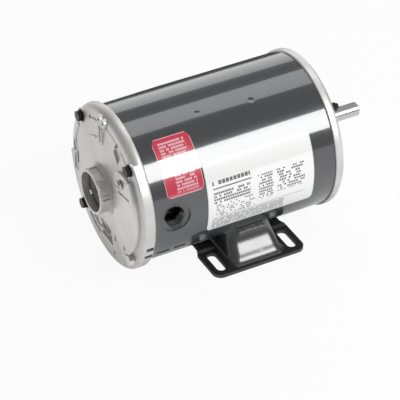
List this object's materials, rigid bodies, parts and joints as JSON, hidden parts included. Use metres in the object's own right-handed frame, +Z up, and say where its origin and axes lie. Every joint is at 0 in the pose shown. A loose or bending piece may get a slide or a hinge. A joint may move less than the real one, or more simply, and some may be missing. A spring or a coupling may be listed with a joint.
{
  "type": "electric motor",
  "caption": "Three-phase drip-proof electric motor with painted rolled steel shell, cast aluminium end bells, stamped slotted foot base, side conduit entry and a flatted round shaft.",
  "frame": {"origin": "centre of the base's slot pattern, on the plane the feet stand on; the shaft axis is 76.2 mm above it", "axes": "+Y along the shaft towards the drive end, +X towards the conduit and label side, +Z up"},
  "size_m": [0.1476, 0.2635, 0.15],
  "materials": {
    "shell_paint": "gloss",
    "base_paint": "gloss",
    "cast_aluminium": "satin",
    "cover_sheet": "satin",
    "hub_steel": "gloss",
    "black_steel": "satin",
    "plated_steel": "gloss",
    "ground_steel": "satin",
    "bearing_steel": "gloss",
    "pressed_steel": "satin",
    "lamination_steel": "matte",
    "varnished_winding": "gloss",
    "wedge_fibre": "matte",
    "lead_insulation": "satin",
    "phenolic_board": "satin",
    "stud_brass": "satin",
    "rubber_black": "matte",
    "black_cap": "satin",
    "label_pale": "satin",
    "label_red": "gloss"
  },
  "bodies": {
    "stator_frame": {"shell": "shell_paint", "conduit_hub": "hub_steel", "base": "base_paint", "rear_end_bell": "cast_aluminium", "front_end_bell": "cast_aluminium", "terminal_cover": "cover_sheet", "terminal_cover_screw": "plated_steel", "terminal_board": "phenolic_board", "terminal_studs": "stud_brass", "terminal_board_screws": "plated_steel", "lead_wires": "lead_insulation", "lead_splice": "plated_steel", "through_bolts": "black_steel", "cover_side_bolt": "plated_steel", "through_bolt_nuts": "black_steel", "stator_core": "lamination_steel", "slot_conductors": "varnished_winding", "slot_wedges": "wedge_fibre", "rear_end_turns": "varnished_winding", "front_end_turns": "varnished_winding", "rear_bearing_outer_ring": "bearing_steel", "rear_bearing_shields": "pressed_steel", "front_bearing_outer_ring": "bearing_steel", "front_bearing_shields": "pressed_steel", "rear_dust_cap": "black_cap", "bearing_preload_washer": "pressed_steel", "nameplate": "label_pale", "side_label": "label_red"},
    "rotor": {"shaft": "ground_steel", "rotor_core": "lamination_steel", "rotor_cage": "cast_aluminium", "shaft_slinger": "rubber_black", "rear_bearing_inner_ring": "bearing_steel", "front_bearing_inner_ring": "bearing_steel"},
    "rear_ball_train": {"rear_bearing_balls": "bearing_steel", "rear_bearing_cage": "pressed_steel"},
    "front_ball_train": {"front_bearing_balls": "bearing_steel", "front_bearing_cage": "pressed_steel"}
  },
  "joints": [
    {"name": "rotor_spin", "type": "hinge", "parent": "stator_frame", "child": "rotor", "pos_m": [0, 0, 0.0762], "axis": [0, 1, 0], "continuous": true},
    {"name": "rear_balls_orbit", "type": "hinge", "parent": "stator_frame", "child": "rear_ball_train", "pos_m": [0, 0, 0.0762], "axis": [0, 1, 0], "continuous": true},
    {"name": "front_balls_orbit", "type": "hinge", "parent": "stator_frame", "child": "front_ball_train", "pos_m": [0, 0, 0.0762], "axis": [0, 1, 0], "continuous": true}
  ]
}
